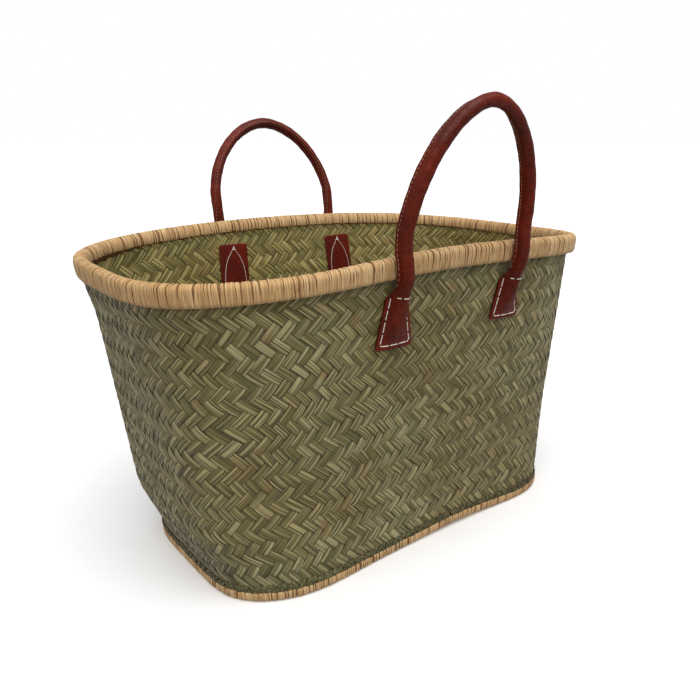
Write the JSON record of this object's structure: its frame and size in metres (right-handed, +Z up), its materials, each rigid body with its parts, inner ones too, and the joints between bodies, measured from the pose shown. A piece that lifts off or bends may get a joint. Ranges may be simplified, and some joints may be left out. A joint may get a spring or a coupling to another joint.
{
  "type": "woven market basket",
  "caption": "Oblong plaited palm basket with raffia-bound rim and foot, and rolled leather handles that fold out and in.",
  "frame": {"origin": "on the floor, under the middle of the basket's bounding box", "axes": "+X along the basket's length, +Y from the front long side to the back one, +Z up"},
  "size_m": [0.4924, 0.3705, 0.4165],
  "materials": {
    "palm_weave": "matte plaited palm leaf, olive straw",
    "palm_mat": "matte plaited palm leaf",
    "raffia": "matte raffia, honey tan",
    "grass_cord": "rough grass cord",
    "leather": "smooth red-brown leather, soft sheen",
    "patch_leather": "matte brown leather",
    "rope": "twisted cotton rope",
    "thread": "waxed off-white thread"
  },
  "bodies": {
    "root": {"wall_weave": "palm_weave", "base_mat": "palm_mat", "rim_binding": "raffia", "rim_bundle": "grass_cord", "rim_cord": "grass_cord", "base_binding": "raffia", "base_cord": "grass_cord", "front_left_tab": "leather", "front_left_tab_thread": "thread", "front_left_patch": "patch_leather", "front_left_patch_thread": "thread", "front_right_tab": "leather", "front_right_tab_thread": "thread", "front_right_patch": "patch_leather", "front_right_patch_thread": "thread", "back_left_tab": "leather", "back_left_tab_thread": "thread", "back_left_patch": "patch_leather", "back_left_patch_thread": "thread", "back_right_tab": "leather", "back_right_tab_thread": "thread", "back_right_patch": "patch_leather", "back_right_patch_thread": "thread"},
    "front_legs": {"front_left_leg": "leather", "front_left_leg_rope": "rope", "front_right_leg": "leather", "front_right_leg_rope": "rope"},
    "front_grip": {"front_grip": "leather", "front_grip_rope": "rope", "front_grip_seam": "thread"},
    "back_legs": {"back_left_leg": "leather", "back_left_leg_rope": "rope", "back_right_leg": "leather", "back_right_leg_rope": "rope"},
    "back_grip": {"back_grip": "leather", "back_grip_rope": "rope", "back_grip_seam": "thread"}
  },
  "joints": [
    {"name": "front_fold_out", "type": "hinge", "parent": "root", "child": "front_legs", "pos_m": [0.01, -0.15225, 0.264], "axis": [-1, 0, 0], "range_deg": [-170, 0]},
    {"name": "front_fold_in", "type": "hinge", "parent": "front_legs", "child": "front_grip", "pos_m": [0.01, -0.1582, 0.3055], "axis": [-1, 0, 0], "range_deg": [0, 100]},
    {"name": "back_fold_out", "type": "hinge", "parent": "root", "child": "back_legs", "pos_m": [0.01, 0.15225, 0.264], "axis": [1, 0, 0], "range_deg": [-170, 0]},
    {"name": "back_fold_in", "type": "hinge", "parent": "back_legs", "child": "back_grip", "pos_m": [0.01, 0.1582, 0.3055], "axis": [1, 0, 0], "range_deg": [0, 100]}
  ]
}
